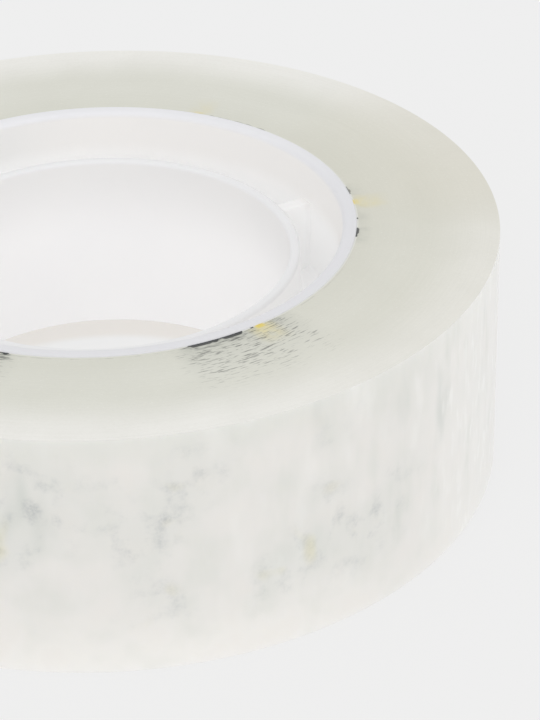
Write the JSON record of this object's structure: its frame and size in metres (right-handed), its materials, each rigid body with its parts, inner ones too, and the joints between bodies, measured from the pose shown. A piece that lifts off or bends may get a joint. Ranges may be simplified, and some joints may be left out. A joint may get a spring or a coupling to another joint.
{
  "type": "roll of clear tape",
  "caption": "Roll of clear adhesive tape wound on a white two-ring moulded core with a printed band, with a free end that peels off the roll.",
  "frame": {"origin": "centre of the roll, on the face that it lies on", "axes": "+Z along the roll's axis, +Y away from the viewer of the picture, +X to the viewer's right"},
  "size_m": [0.0564, 0.0564, 0.0182],
  "materials": {
    "core_plastic": "satin moulded white plastic",
    "band_print": null,
    "clear_tape": "clear film, milky where it is wound up"
  },
  "bodies": {
    "roll": {"core": "core_plastic", "core_band": "band_print", "tape_winding": "clear_tape"},
    "free_end": {"tape_end": "clear_tape"}
  },
  "joints": [
    {"name": "tape_end_peel", "type": "hinge", "parent": "roll", "child": "free_end", "pos_m": [-0.01335, 0.02489, 0.0091], "axis": [0, 0, -1], "range_deg": [0, 120]}
  ]
}
